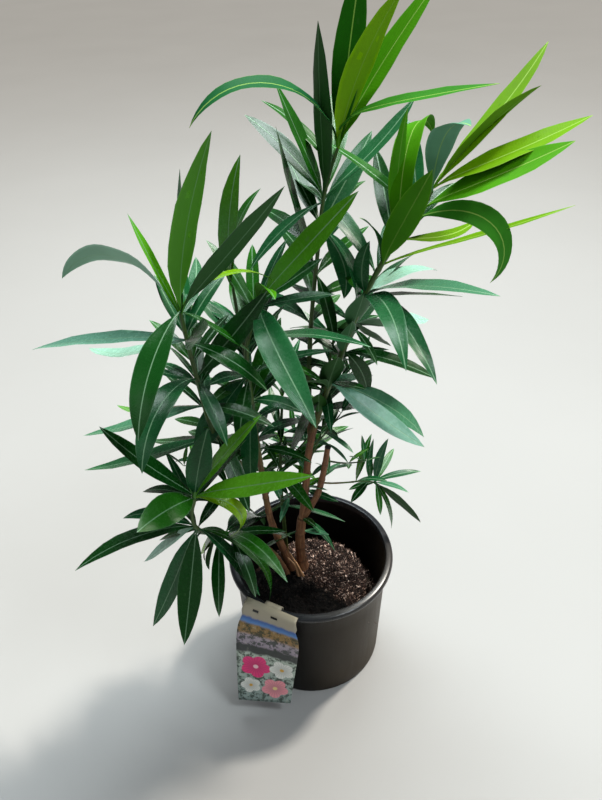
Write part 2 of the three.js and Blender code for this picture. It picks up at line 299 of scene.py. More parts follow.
def toward(azimuth, rise=0):
    """The unit vector at an azimuth and a rise in degrees."""
    turn, lift = math.radians(azimuth), math.radians(rise)
    return np.array((math.cos(lift) * math.cos(turn), math.cos(lift) * math.sin(turn),
                     math.sin(lift)))


# Leaves
LIME = (0.24, 0.5, 0.003)
FRESH = (0.06, 0.25, 0.003)
GREEN = (0.012, 0.1, 0.004)
TEAL = (0.01, 0.095, 0.026)
# A paler leaf colour, partly real and partly a painted reflection of the sky.
PALE_WITH_PAINTED_GLARE = (0.07, 0.24, 0.12)
DARK = (0.003, 0.052, 0.004)
OLD_TINTS = (GREEN, DARK, TEAL)
# Painted light and shade: the next two are darker copies of LIME for young leaves in the key light.
SUNLIT_LIME = (0.125, 0.29, 0.002)
BRIGHT = (0.1, 0.36, 0.008)
MIDDLE = (0.03, 0.17, 0.012)
# Painted sheen of the sky on glossy leaves; the first of these two also lightens leaves in shade.
SOFT_PAINTED_LIGHT = (0.13, 0.33, 0.22)
PAINTED_SHEEN = (0.3, 0.55, 0.42)
# Shares of a leaf's length at which it is drawn, twice as many where it droops strongly
STATIONS = np.array([0, 0.04, 0.1, 0.19, 0.29, 0.4, 0.51, 0.62, 0.73, 0.83, 0.92, 1.0])
STRONG_DROOP = 45
STALK_RADIUS = 1.5 * MM
CLASP = 15
BLADE_START = 0.045
BLADE_PEAK = 0.309
BLADE_THICKNESS = 0.12 * MM
SAMPLES = 41


def leaf_line(base, chance, azimuth, rise, droop, length, width, tint, roll=0, swing=0,
              clasp=CLASP):
    """A leaf's midrib and what rides on it. Lengths are in mm and angles in degrees; the
    clasp is how much steeper the leaf starts at the shoot."""
    share = np.linspace(0, 1, SAMPLES)
    stations = STATIONS
    if abs(droop) > STRONG_DROOP:
        stations = np.sort(np.append(STATIONS, (STATIONS[1:] + STATIONS[:-1]) / 2))
    lift = np.radians(rise - droop * share ** 1.3 + clasp * np.exp(-share / 0.1))
    turn = np.radians(azimuth + swing * share)
    step = np.stack([np.cos(lift) * np.cos(turn), np.cos(lift) * np.sin(turn), np.sin(lift)], 1)
    middle = (step[1:] + step[:-1]) / 2 * (length * MM / (SAMPLES - 1))
    path = np.vstack([np.zeros(3), np.cumsum(middle, 0)]) + base
    heading, place = (np.stack([np.interp(stations, share, column) for column in values.T], 1)
                      for values in (step, path))
    level = np.interp(stations, share, turn)
    side = np.stack([-np.sin(level), np.cos(level), np.zeros(len(level))], 1)
    over = np.cross(heading, side)
    tilt = np.radians(roll * np.minimum(stations / 0.2, 1) + chance.uniform(-12, 12) * stations)
    side = side * np.cos(tilt)[:, None] + over * np.sin(tilt)[:, None]
    blade = np.clip((stations - BLADE_START) / (1 - BLADE_START), 0, 1)
    outline = blade ** 0.8 * (1 - blade) ** 0.9 / BLADE_PEAK
    stalk = STALK_RADIUS * np.clip(1 - stations / 0.5, 0.08, 1) * min(1, length / 120)
    flat = np.ones(len(stations))
    shade = chance.uniform(0.82, 1.18)
    return {
        "place": place,
        "side": side,
        "half": np.maximum(width * MM / 2 * outline, stalk),
        "thick": stalk * 0.75 + BLADE_THICKNESS,
        "run": stations * length * MM,
        "tint": np.outer(flat, np.array(tint) * shade),
        "phase": flat * chance.uniform(0, 6),
    }


def leaf_sweep():
    """Blades with a folded, thin section that follow their midribs."""
    tree = Growth("leaf_sweep", section_points=8, fold=0.34, recurve=0.16, ripple=0.05)
    path = tree.add("GeometryNodeMeshToCurve", {}, {"Mesh": tree.given})
    path = tree.keep(path, "spine", tree.add("GeometryNodeInputPosition"), VECTOR)
    path = tree.keep(path, "heading", tree.add("GeometryNodeInputTangent"), VECTOR)
    blade = tree.add("GeometryNodeCurveToMesh", {},
                     {"Curve": path, "Profile Curve": tree.section(), "Fill Caps": True})
    across, above, _ = tree.read("section", VECTOR).axes()
    half, thick = tree.read("half"), tree.read("thick")
    out = abs(across)
    side = tree.read("side", VECTOR)
    over = tree.vector_math("CROSS_PRODUCT", tree.read("heading", VECTOR), side)
    wave = (tree.read("run") * 95.0 + tree.read("phase") + across).sine()
    folded = out * tree.given.part("fold") - out * out * tree.given.part("recurve")
    lift = half * (folded + wave * out * tree.given.part("ripple")) + above * thick
    place = tree.read("spine", VECTOR) + side * (across * half) + over * lift
    blade = tree.add("GeometryNodeSetPosition", {}, {"Geometry": blade, "Position": place})
    blade = tree.keep(blade, "across", across * half)
    blade = tree.keep(blade, "edge", out)
    blade = tree.keep(blade, "under", (-above).step(0.05, 0.5))
    blade = tree.shade(blade, "FACE")
    blade = tree.shade(blade, "EDGE", out.step(0.985, 0.995), False)
    tree.close(blade, ("spine", "heading", "section", "side", "half", "thick", "phase"))
    return tree


def leaf_look(tree, gloss, shine, rib_color):
    """A green blade with a pale midrib, fine side veins and a paler underside."""
    tint = tree.carried("tint", "Vector")
    run, across = tree.carried("run"), abs(tree.carried("across"))
    under, edge = tree.carried("under"), tree.carried("edge")
    place = tree.place()
    cloud = tree.noise(place, 14.0, 2.0)
    mottle = tree.noise(place, 160.0, 3.0)
    rib = across.step(0.0009, 0.0004)
    veins = ((run - across * 0.5) * 3600.0).sine()
    color = tree.lit(tint, 0.72 + cloud * 0.36 + mottle * 0.2 + veins * 0.035)
    color = tree.blend(edge.step(0.93, 1.0) * 0.25, color, rib_color)
    color = tree.blend(rib * 0.6, color, rib_color)
    color = tree.blend(under * 0.5, color, tree.lit(tint, 0.6 + cloud * 0.5))
    color = tree.blend(under * 0.22, color, (0.05, 0.16, 0.035))
    height = veins * 0.25 + mottle * 0.2 - rib * 1.2
    return {
        "Base Color": color,
        "Roughness": gloss + mottle * 0.1 + under * 0.35,
        "Normal": tree.bump(height, 0.0002, 0.6),
        "IOR": 1.45,
        "Specular IOR Level": shine,
    }


# How the leaves sit, read off the plant. For each shoot, at a height in mm, each leaf's
# azimuth, rise, droop, length, width and colour, then its roll, swing and clasp if any.
LEAVES = {
    "top_bough": {
        865: [(-165, 62, 120, 215, 26, TEAL, -10), (-46, 18, 3, 222, 24, MIDDLE, 20, 7, 100),
              (40, 83, 5, 185, 34, GREEN, 30, 0, 0), (-25, 75, 20, 180, 36, LIME, -40),
              (10, 60, 10, 200, 34, FRESH, 30)],
        801: [(180, 85, -5, 190, 32, DARK, 40), (160, 65, 0, 140, 28, GREEN, -10),
              (10, 35, -10, 155, 28, TEAL, 0, 25), (110, 0, 10, 115, 20, DARK, 20),
              (-160, -25, 30, 120, 22, TEAL)],
        761: [(52, 35, 0, 150, 28, TEAL, 40, 5), (-5, -50, 55, 105, 26, TEAL, 70)],
        702: [(160, 70, -10, 185, 24, DARK), (-55, -60, 15, 95, 22, DARK)],
    },
    "right_bough": {
        834: [(0, 20, -5, 178, 34, SUNLIT_LIME, 10, 5), (25, 35, -5, 205, 26, SUNLIT_LIME, 0, 20),
              (20, 45, 20, 155, 30, SUNLIT_LIME, -50), (-99, 53, 46, 215, 30, SOFT_PAINTED_LIGHT, 0, 12)],
        808: [(-15, 25, -5, 168, 38, FRESH, 20, 5)],
        795: [(-9, 26, 155, 173, 29, MIDDLE, 52, 9, 0)],
        767: [(85, 107, 164, 222, 36, FRESH, -30, -30), (-35, 95, 15, 150, 23, FRESH, -10),
              (25, -17, -20, 155, 15, SUNLIT_LIME, 30, 31)],
        735: [(-60, 60, 0, 155, 33, FRESH, -40), (-5, 15, -5, 225, 17, SUNLIT_LIME, -10, 5),
              (200, 90, 60, 75, 18, TEAL)],
        691: [(0, 105, 40, 75, 22, TEAL, 60), (40, 12, 40, 135, 28, PAINTED_SHEEN, 0, -5),
              (-68, 33, 28, 215, 32, PALE_WITH_PAINTED_GLARE, 0, 30), (30, -15, 5, 175, 22, DARK, -10),
              (-78, 33, 65, 205, 28, TEAL, 10, -8), (-80, 30, 72, 212, 30, TEAL, -10, 16),
              (48, -40, -16, 215, 34, PAINTED_SHEEN, 30, 5)],
        647: [(175, 100, 60, 140, 26, TEAL, -20), (55, -30, 0, 140, 26, TEAL, -40),
              (65, -45, -10, 180, 26, DARK, 0, -10), (-30, -45, 20, 60, 16, DARK),
              (-60, 66, -5, 66, 34, TEAL)],
        602: [(-10, -5, 25, 130, 26, DARK), (5, -50, 40, 85, 24, DARK, 70),
              (-60, 68, -5, 62, 30, TEAL), (150, 30, 20, 60, 16, DARK)],
        551: [(-28, -30, -4, 155, 30, SOFT_PAINTED_LIGHT, 20, 6), (-10, -21, 39, 175, 31, PALE_WITH_PAINTED_GLARE, 30, 21),
              (-55, 25, 5, 80, 18, DARK), (-110, 40, 10, 120, 20, DARK, 20),
              (100, -30, 20, 120, 24, GREEN), (170, 35, 10, 75, 17, GREEN),
              (-160, -60, 10, 125, 28, DARK), (-80, 58, 5, 110, 32, DARK),
              (45, -10, 20, 105, 24, PALE_WITH_PAINTED_GLARE), (170, 15, 20, 60, 14, DARK)],
        498: [(40, -15, 30, 110, 22, DARK), (-90, 70, 0, 50, 22, GREEN)],
    },
    "left_stem": {
        698: [(-15, 50, 0, 190, 32, FRESH, 50), (20, 25, 0, 95, 26, DARK, 0, 5),
              (-75, 55, 60, 110, 22, FRESH, -30), (-83, 2, 48, 198, 36, TEAL, 20, 30),
              (110, -15, 0, 100, 18, DARK, 20, -10), (60, 45, 20, 95, 18, TEAL, -20),
              (10, 8, 10, 97, 22, TEAL)],
        635: [(155, 30, -5, 90, 22, TEAL, 0, -15), (125, 35, 35, 85, 17, TEAL, 20, 5),
              (55, -5, -5, 90, 16, DARK, 0, 20), (30, 58, 0, 95, 20, DARK),
              (-45, 35, 35, 205, 26, TEAL, 0, 10)],
        582: [(-145, -40, 15, 130, 40, TEAL, -20), (-125, 35, 30, 85, 20, TEAL, -10),
              (-10, 35, 28, 125, 18, TEAL), (-100, -20, 40, 90, 22, DARK)],
        542: [(58, 52, 15, 120, 30, GREEN, 0, 2), (45, 15, 5, 60, 17, DARK, 0, 5),
              (-20, 15, 40, 75, 20, TEAL, 20, -5), (-5, 20, 60, 80, 17, DARK, -10),
              (120, -55, -10, 150, 24, DARK, 0, 10), (-95, -50, 30, 120, 28, TEAL, 20),
              (-150, -5, 50, 85, 18, DARK)],
        455: [(-10, 0, 35, 80, 18, DARK), (-120, 30, 30, 90, 20, DARK)],
    },
    "inner_bough": {
        708: [(40, 90, 25, 160, 30, FRESH, 10), (20, 90, 50, 130, 26, GREEN)],
    },
    "left_bough": {
        727: [(-116, -19, 46, 158, 35, DARK, 0, 12)],
        724: [(25, 45, 90, 130, 20, LIME, -10, -10), (0, 45, -5, 185, 29, DARK, -60, 5),
              (15, -40, 10, 105, 20, GREEN), (10, 80, 15, 205, 37, FRESH, -60),
              (75, 65, -5, 155, 24, TEAL, -50, 10), (95, 50, 20, 100, 18, LIME, -50, 5),
              (75, 5, -5, 120, 19, TEAL, 0, 25), (132, 39, 93, 222, 34, PAINTED_SHEEN, 60, 31),
              (150, 60, -5, 125, 21, FRESH, 20, -5)],
        682: [(176, -2, 20, 208, 32, SOFT_PAINTED_LIGHT, 0, -15), (165, -30, -20, 180, 28, PAINTED_SHEEN, 0, -30),
              (-65, 30, -10, 130, 36, DARK, 50, -5), (-20, -10, 40, 110, 26, DARK)],
        623: [(91, -18, 10, 100, 20, TEAL, 0, 17), (10, 45, -5, 140, 30, DARK, 50, 10),
              (-120, 20, 90, 158, 32, TEAL, 0, 15), (125, 20, 25, 75, 15, DARK, 40),
              (175, 15, 0, 58, 14, TEAL), (-60, -20, 40, 90, 20, TEAL)],
        575: [(175, -25, -5, 190, 30, PALE_WITH_PAINTED_GLARE, 0, -10), (160, -30, -15, 190, 28, FRESH, 10, -30),
              (-20, 5, 30, 95, 22, DARK)],
        514: [(180, -25, -5, 215, 32, TEAL, 0, -15), (160, -30, -10, 135, 22, DARK, 10, -20),
              (-60, -30, 30, 110, 24, DARK)],
    },
    "low_shoot": {
        461: [(-10, 10, 165, 120, 20, LIME, 30, 20, 0)],
        463: [(180, 40, -5, 155, 31, DARK, 0, -20), (-28, 30, -1, 205, 31, BRIGHT, 25, 1),
              (10, 55, 10, 155, 28, BRIGHT), (45, 75, 12, 104, 33, TEAL, 50),
              (-125, 25, 25, 105, 42, GREEN, -30), (150, -5, 30, 95, 18, DARK, 0, 5),
              (40, -15, 60, 110, 20, DARK), (15, 50, 5, 115, 20, DARK),
              (25, -25, 40, 120, 26, DARK)],
        398: [(170, 25, 60, 110, 22, TEAL), (-155, 20, 45, 170, 30, DARK, 0, 5),
              (175, -45, 0, 115, 24, PAINTED_SHEEN), (-140, -62, -5, 172, 33, TEAL, -10, -10),
              (-105, -60, -5, 166, 36, DARK), (-2, -56, 19, 168, 30, TEAL),
              (12, -36, 69, 215, 28, GREEN, 0, -21), (170, -20, 20, 70, 14, GREEN),
              (150, -30, 0, 45, 12, LIME), (-165, -60, 10, 150, 20, DARK)],
        362: [(-95, -50, 20, 122, 22, DARK, 20), (175, -65, 25, 85, 18, DARK, 30),
              (150, -50, 40, 90, 18, GREEN, -30), (-45, 37, 67, 151, 22, GREEN, 0, -8),
              (65, -15, 60, 150, 28, DARK, 0, -5), (155, -50, 15, 80, 20, LIME, -20),
              (0, 10, 20, 84, 18, DARK), (16, -40, 28, 120, 18, GREEN),
              (20, -10, 40, 110, 18, DARK), (-60, -20, 60, 100, 20, DARK)],
    },
    "side_twig": {
        337: [(10, 15, 25, 80, 14, TEAL), (5, -50, 5, 135, 20, DARK, -60),
              (-10, -60, 30, 110, 16, GREEN, 10), (-75, -50, 25, 55, 12, GREEN, -20),
              (35, 85, 25, 85, 18, PALE_WITH_PAINTED_GLARE), (60, 20, 20, 75, 13, GREEN), (-35, 20, 30, 60, 12, PALE_WITH_PAINTED_GLARE)],
        345: [(60, 55, 20, 80, 13, GREEN), (-30, 40, 40, 60, 12, TEAL), (20, 80, 10, 70, 12, FRESH),
              (115, 90, 25, 60, 13, DARK, 20), (160, 80, -25, 90, 16, TEAL, -20),
              (-140, -20, 20, 45, 14, DARK), (-170, 0, 25, 45, 12, DARK)],
    },
    "main_stem": {
        290: [(-15, -40, 30, 85, 14, TEAL), (-60, 30, 20, 45, 12, DARK)],
        262: [(-160, -15, 10, 78, 16, DARK, 30), (-20, 10, 10, 45, 12, PALE_WITH_PAINTED_GLARE)],
    },
    "back_stem": {
        405: [(150, 25, 0, 50, 12, TEAL, 0, -5), (80, 85, 20, 45, 11, DARK),
              (20, -15, -5, 60, 14, PALE_WITH_PAINTED_GLARE, 0, 10)],
    },
}

# Limbs: radius in mm at foot and tip, flare at the foot, how green the bark is at foot
# and tip, and the route in mm. The shoots end in a bud, the cut branch in its old cut.
LIMBS = {
    "main_stem": dict(thick=8.4, thin=7.4, flare=0.45, green=(0, 0), route=[
        (-13, 8, 166), (-16, 8, 205), (-17, 8, 245), (-13, 10, 293)]),
    "right_bough": dict(thick=6.2, thin=2.6, green=(-0.5, 2.4), route=[
        (-12, 10, 293), (-7, 12, 340), (2, 15, 440), (20, 15, 519), (48, 12, 608), (72, 4, 690),
        (101, -3, 757), (131, -9, 806), (142, -13, 834)]),
    "cut_branch": dict(thick=5.4, thin=4.2, green=(0, 0), cut=True, route=[
        (-11, 9, 293), (0, 6, 318), (13, 4, 352), (22, 4, 399), (28, 4, 445)]),
    "top_bough": dict(thick=3.9, thin=1.9, green=(0.4, 1.6), route=[
        (2, 17, 440), (2, 30, 512), (4, 41, 590), (8, 45, 650), (15, 45, 723), (22, 45, 795),
        (31, 45, 835), (41, 45, 866)]),
    "left_stem": dict(thick=6, thin=2.6, flare=0.4, green=(-0.3, 1.3), route=[
        (-31, 5, 166), (-47, 3, 232), (-62, -2, 300), (-71, -8, 414), (-77, -10, 540),
        (-78, -12, 627), (-69, -15, 666), (-58, -19, 698)]),
    "left_bough": dict(thick=4.2, thin=2.3, green=(0.2, 1.5), route=[
        (-71, -7, 378), (-91, -30, 435), (-114, -45, 492), (-127, -55, 531), (-135, -68, 610),
        (-141, -77, 690), (-143, -80, 724)]),
    "inner_bough": dict(thick=2.8, thin=1.8, green=(0.9, 1.3), route=[
        (-78, -12, 602), (-85, 0, 645), (-91, 10, 708)]),
    "low_shoot": dict(thick=4.4, thin=2.3, flare=0.3, green=(0, 1.4), route=[
        (-38, -4, 166), (-60, -22, 245), (-92, -50, 312), (-124, -82, 358), (-156, -102, 392),
        (-161, -108, 425), (-152, -110, 463)]),
    "back_stem": dict(thick=3.4, thin=2, flare=0.3, green=(0.5, 1.3), route=[
        (-40, 28, 166), (-43, 33, 262), (-45, 40, 350), (-42, 70, 420), (-38, 97, 475)]),
    "rear_bough": dict(thick=3.2, thin=2, green=(0.5, 1.3), route=[
        (8, 17, 470), (18, 48, 500), (32, 84, 530), (41, 108, 566)]),
    "side_twig": dict(thick=1.6, thin=1.1, green=(0.5, 0.9), route=[
        (20, 5, 372), (40, 20, 356), (67, 30, 348), (88, 35, 345), (106, 39, 337)]),
}
NODE_STEP = 34 * MM
NODE_WIDTH = 2.2 * MM
NODE_SWELLING = 0.13
TIP_LENGTH = 4 * MM
CUT_DEPTH = 1.5 * MM
BARK_STEP = 2.5 * MM
FAR_SPACING = 34
FAR_ARC = (35, 145)
FAR_RISE = 42
FAR_FALL = 62


def smooth_route(points, step):
    """Evenly spaced places on a smooth curve through the points."""
    points = np.array(points, dtype=float)
    gaps = np.sqrt(np.linalg.norm(np.diff(points, axis=0), axis=1))
    slopes = np.diff(points, axis=0) / gaps[:, None]
    through = np.vstack([slopes[:1], slopes[:1], slopes[-1:]])
    if len(points) > 2:
        wide = (points[2:] - points[:-2]) / (gaps[1:] + gaps[:-1])[:, None]
        through = np.vstack([slopes[:1], slopes[:-1] + slopes[1:] - wide, slopes[-1:]])
    fine = []
    for i, gap in enumerate(gaps):
        t = np.linspace(0, 1, 40, endpoint=i == len(gaps) - 1)[:, None]
        fine.append((2 * t ** 3 - 3 * t ** 2 + 1) * points[i]
                    + (t ** 3 - 2 * t ** 2 + t) * gap * through[i]
                    + (3 * t ** 2 - 2 * t ** 3) * points[i + 1]
                    + (t ** 3 - t ** 2) * gap * through[i + 1])
    fine = np.vstack(fine)
    reach = np.concatenate([[0], np.cumsum(np.linalg.norm(np.diff(fine, axis=0), axis=1))])
    even = np.linspace(0, reach[-1], max(int(round(reach[-1] / step)), 2) + 1)
    return np.stack([np.interp(even, reach, column) for column in fine.T], 1), even


def limb_line(route, thick, thin, green, flare=0, cut=False, nodes=NODE_STEP):
    """A limb's middle line with its radius, swollen at the old leaf nodes."""
    place, run = smooth_route(np.array(route) * MM, BARK_STEP)
    share = run / run[-1]
    radius = (thick + (thin - thick) * share) * MM
    radius *= 1 + flare * np.maximum(0, 1 - share / 0.3) ** 2
    beat = run / nodes + 0.35 * np.sin(run * 9)
    ring = np.exp(-((beat - np.round(beat)) * nodes / NODE_WIDTH) ** 2)
    radius *= 1 + NODE_SWELLING * ring
    end = run[-1] - run
    if not cut:
        radius *= np.clip(end / TIP_LENGTH, 0.05, 1) ** 0.5
    return {
        "place": place,
        "girth": radius,
        "run": run,
        "green": green[0] + (green[1] - green[0]) * share,
        "scar": ring,
        "cut": np.full(len(run), 1.0 if cut else 0.0) * (end < CUT_DEPTH),
    }


def bark_sweep():
    """Round limbs along their lines, with ridged bark in relief."""
    tree = Growth("bark_sweep", section_points=14, relief=0.0007, fineness=260.0)
    path = tree.add("GeometryNodeMeshToCurve", {}, {"Mesh": tree.given})
    girth = tree.read("girth")
    limb = tree.add("GeometryNodeCurveToMesh", {},
                    {"Curve": path, "Profile Curve": tree.section(), "Scale": girth,
                     "Fill Caps": True})
    x, y, _ = tree.read("section", VECTOR).axes()
    grain = tree.vector(x * girth, y * girth, tree.read("run"))
    limb = tree.keep(limb, "grain", grain, VECTOR)
    long_grain = tree.vector_math("MULTIPLY", tree.read("grain", VECTOR), (1.0, 1.0, 0.22))
    ridges = tree.noise(long_grain, tree.given.part("fineness"), 3.0)
    woody = 1.0 - tree.read("green").step(0.2, 1.1) * 0.75
    height = (ridges - 0.5) * tree.given.part("relief") * 2.0 * woody
    push = tree.add("GeometryNodeInputNormal") * height
    limb = tree.add("GeometryNodeSetPosition", {}, {"Geometry": limb, "Offset": push})
    tree.close(tree.shade(limb, "FACE"), ("section", "girth"))
    return tree


def bark_look(tree):
    """Reddish brown bark that turns olive and then green on the young wood."""
    grain = tree.carried("grain", "Vector")
    green, scar, cut = tree.carried("green"), tree.carried("scar"), tree.carried("cut")
    streaks = tree.noise(tree.stretched(grain, (1.0, 1.0, 0.08)), 420.0, 4.0)
    patches = tree.noise(grain, 45.0, 3.0)
    pores = tree.noise(grain, 900.0, 1.0).step(0.64, 0.72)
    wood = tree.ramp(streaks * 0.65 + patches * 0.35, (0.3, (0.075, 0.032, 0.016)),
                     (0.5, (0.21, 0.085, 0.035)), (0.72, (0.38, 0.19, 0.085)))
    wood = tree.blend(pores * 0.5, wood, (0.36, 0.28, 0.2))
    young = tree.ramp(streaks, (0.3, (0.02, 0.055, 0.01)), (0.7, (0.075, 0.15, 0.022)))
    color = tree.blend((green + (patches - 0.5) * 1.2).step(0.15, 0.85), wood, young)
    color = tree.blend(scar.step(0.5, 1.0) * 0.55, color, (0.045, 0.03, 0.015))
    color = tree.blend(cut, color, (0.02, 0.014, 0.01))
    return {
        "Base Color": color,
        "Roughness": 0.72 - green.step(0.2, 1.0) * 0.22 + pores * 0.1,
        "Normal": tree.bump(streaks + pores * 0.4, 0.0005, 0.6),
    }


lines = {name: limb_line(**spec) for name, spec in LIMBS.items()}


def on_limb(name, height):
    """A place on a limb's middle line and its radius there, from its height in mm."""
    line = lines[name]
    upward = np.argsort(line["place"][:, 2], kind="stable")
    z = line["place"][upward, 2]
    place = [np.interp(height * MM, z, line["place"][upward, k]) for k in range(3)]
    return np.array(place), float(np.interp(height * MM, z, line["girth"][upward]))


def leaf_at(place, radius, leaf, chance):
    """A leaf that starts near the surface of its shoot."""
    return leaf_line(place + toward(leaf[0]) * radius * 0.6, chance, *leaf)


def seen_leaves(limb, chance, only=None):
    """The leaves read off the plant, three to each step of a crowded shoot."""
    grown = []
    for height, whorl in LEAVES[limb].items():
        if only and height not in only:
            continue
        for i, leaf in enumerate(whorl):
            place, radius = on_limb(limb, height + 2 - 5 * (i // 3))
            grown.append(leaf_at(place, radius, leaf, chance))
    return grown


def far_leaves(chance, limb, top, foot, length=160, each=2):
    """Leaves on the far side of a shoot: upright at its tip and drooping at its foot."""
    grown = []
    first_side, last_side = FAR_ARC
    arc = last_side - first_side
    steps = max(int((top - foot) / FAR_SPACING), 1)
    for i in range(steps + 1):
        age = i / steps
        height = top - (top - foot) * age
        place, radius = on_limb(limb, height)
        first = chance.uniform(first_side, last_side)
        for k in range(each):
            azimuth = first_side + (first - first_side + k * arc / each) % arc
            long = length * chance.uniform(0.75, 1.05)
            rise = FAR_RISE - FAR_FALL * age + chance.uniform(-10, 10)
            droop, swing = chance.uniform(5, 35), chance.uniform(-8, 8)
            roll, tint = chance.uniform(-20, 20), chance.choice(OLD_TINTS)
            leaf = (azimuth, rise, droop, long, 7 + 0.11 * long, tint, roll, swing)
            grown.append(leaf_at(place, radius, leaf, chance))
    return grown


def whorls(place, run, radius, count, long, chance, tints, rise=48, wide=0.16):
    """Whorls of three along a line, each turned by a sixth from the one below."""
    grown = []
    start = chance.uniform(0, 120)
    for i in range(count):
        share = 1 - 0.8 * i / max(count, 1)
        at = np.array([np.interp(run[-1] * share, run, place[:, k]) for k in range(3)])
        for k in range(3):
            size = long * chance.uniform(0.7, 1.1) * (0.75 + 0.25 * min(i, 2) / 2)
            azimuth = start + 60 * i + 120 * k + chance.uniform(-15, 15)
            up = rise - 16 * i + chance.uniform(-12, 12)
            droop, swing = chance.uniform(5, 40), chance.uniform(-10, 10)
            roll, tint = chance.uniform(-25, 25), chance.choice(tints)
            leaf = (azimuth, up, droop, size, wide * size + 2, tint, roll, swing)
            grown.append(leaf_at(at, radius, leaf, chance))
    return grown


def bud(limb, chance):
    """The small new leaves round a growing tip."""
    place, radius = lines[limb]["place"][-3], lines[limb]["girth"][-3]
    return [leaf_at(place, radius, (chance.uniform(0, 120) + 120 * k, chance.uniform(68, 84), 8,
                                    chance.uniform(14, 28), 5, FRESH), chance)
            for k in range(3)]


# Weak side shoots: limb and height, azimuth and rise, length, whorls and leaf length
SIDE_SHOOTS = [
    ("right_bough", 430, 22, 46, 75, 3, 62),
    ("cut_branch", 418, 12, -14, 62, 2, 52),
    ("back_stem", 330, 150, 50, 80, 3, 60),
    ("back_stem", 372, 30, 35, 75, 3, 62),
    ("rear_bough", 505, 40, 10, 80, 3, 70),
    ("left_stem", 352, 60, 40, 70, 3, 55),
    ("back_stem", 300, 10, 35, 95, 3, 60),
    ("back_stem", 350, 75, 15, 90, 3, 66),
    ("right_bough", 400, 65, 25, 85, 3, 64),
    ("left_stem", 320, 25, 30, 85, 3, 60),
    ("left_bough", 470, 178, -14, 74, 3, 52),
]


def side_shoot(spec, chance):
    """A thin twig with its whorls of small leaves."""
    limb, height, azimuth, rise, long, count, leaf_long = spec
    start, _ = on_limb(limb, height)
    out = toward(azimuth, rise) * long
    route = [start / MM, start / MM + out * 0.5 - (0, 0, 4), start / MM + out]
    twig = limb_line(route, 1.5, 0.9, (0.9, 1.3), nodes=14 * MM)
    leaves = whorls(twig["place"], twig["run"], 1.2 * MM, count, leaf_long, chance,
                    (FRESH, GREEN, TEAL, PALE_WITH_PAINTED_GLARE))
    return twig, leaves


# The pot
RIM_RADIUS = (POT_HIGH[0] - POT_LOW[0]) / 2
POT_HEIGHT = POT_HIGH[2]
NECK_RADIUS = RIM_RADIUS - 10 * MM
FOOT_RADIUS = RIM_RADIUS - 17 * MM
WALL = 2.2 * MM
FLOOR = 2.6 * MM
LIP_HEIGHT = 12 * MM
POT_FACETS = 128
WALL_HEIGHTS = (0.02, 0.05, 0.09, 0.13, 0.17)
DRAINS = 6
DRAIN_RADIUS = 6 * MM
DRAIN_CIRCLE = 92 * MM
DRAIN_FACETS = 20


def arc(centre, radius, first, last, count=6):
    """Points on an arc of the pot's outline, from one angle in degrees to another."""
    return [(centre[0] + radius * math.cos(math.radians(a)),
             centre[1] + radius * math.sin(math.radians(a)))
            for a in np.linspace(first, last, count)]


def circle(radius, z, count):
    """Points of a level circle round the axis."""
    return [(radius * math.cos(a), radius * math.sin(a), z)
            for a in np.linspace(0, 2 * math.pi, count, endpoint=False)]


def band(one, two, count):
    """Faces between two rings, given the numbers of their first points."""
    return [(one + k, one + (k + 1) % count, two + (k + 1) % count, two + k)
            for k in range(count)]


def wall_radius(z):
    straight = POT_HEIGHT - LIP_HEIGHT
    return FOOT_RADIUS + (NECK_RADIUS - FOOT_RADIUS) * min(max(z / straight, 0), 1)


def pot_outline():
    """Up the outside, over the rolled lip and down the inside, from axis to axis."""
    neck = POT_HEIGHT - LIP_HEIGHT
    lip = 5.2 * MM
    foot = 3 * MM
    outside = [(0, 1.2 * MM), (FOOT_RADIUS - 26 * MM, 1.2 * MM), (FOOT_RADIUS - 22 * MM, 0),
               *arc((FOOT_RADIUS - foot, foot), foot, -90, 0),
               *[(wall_radius(z), z) for z in (*WALL_HEIGHTS, neck - 9 * MM)],
               *[(wall_radius(neck - down * MM) + bead * MM, neck - down * MM)
                 for down, bead in ((7.5, 0.5), (6, 0.5), (4.5, 0))],
               (NECK_RADIUS + 0.5 * MM, neck - 1.5 * MM),
               *arc((NECK_RADIUS + 2.5 * MM, neck - 0.5 * MM), 2 * MM, 180, 90, 4)]
    over = [*arc((RIM_RADIUS - lip, neck + lip + 0.8 * MM), lip, -60, 78, 10),
            *arc((RIM_RADIUS - 9.6 * MM, POT_HEIGHT - 2.4 * MM), 2.4 * MM, 84, 175, 6)]
    inside = [(NECK_RADIUS - WALL, neck - 6 * MM),
              *[(wall_radius(z) - WALL, z) for z in reversed(WALL_HEIGHTS)],
              *arc((FOOT_RADIUS - WALL - 3 * MM, FLOOR + 3 * MM), 3 * MM, 0, -90, 4),
              (0, FLOOR)]
    return outside + over + inside


def lathe(name, outline, facets):
    """A closed solid turned round the axis; the outline starts and ends on it."""
    rings = outline[1:-1]
    places = [(0, 0, outline[0][1])]
    places += [place for r, z in rings for place in circle(r, z, facets)]
    places.append((0, 0, outline[-1][1]))
    top = 1 + (len(rings) - 1) * facets
    faces = [(0, 1 + (k + 1) % facets, 1 + k) for k in range(facets)]
    for first in range(1, top, facets):
        faces += band(first, first + facets, facets)
    faces += [(len(places) - 1, top + k, top + (k + 1) % facets) for k in range(facets)]
    return mesh_of(name, places, faces)


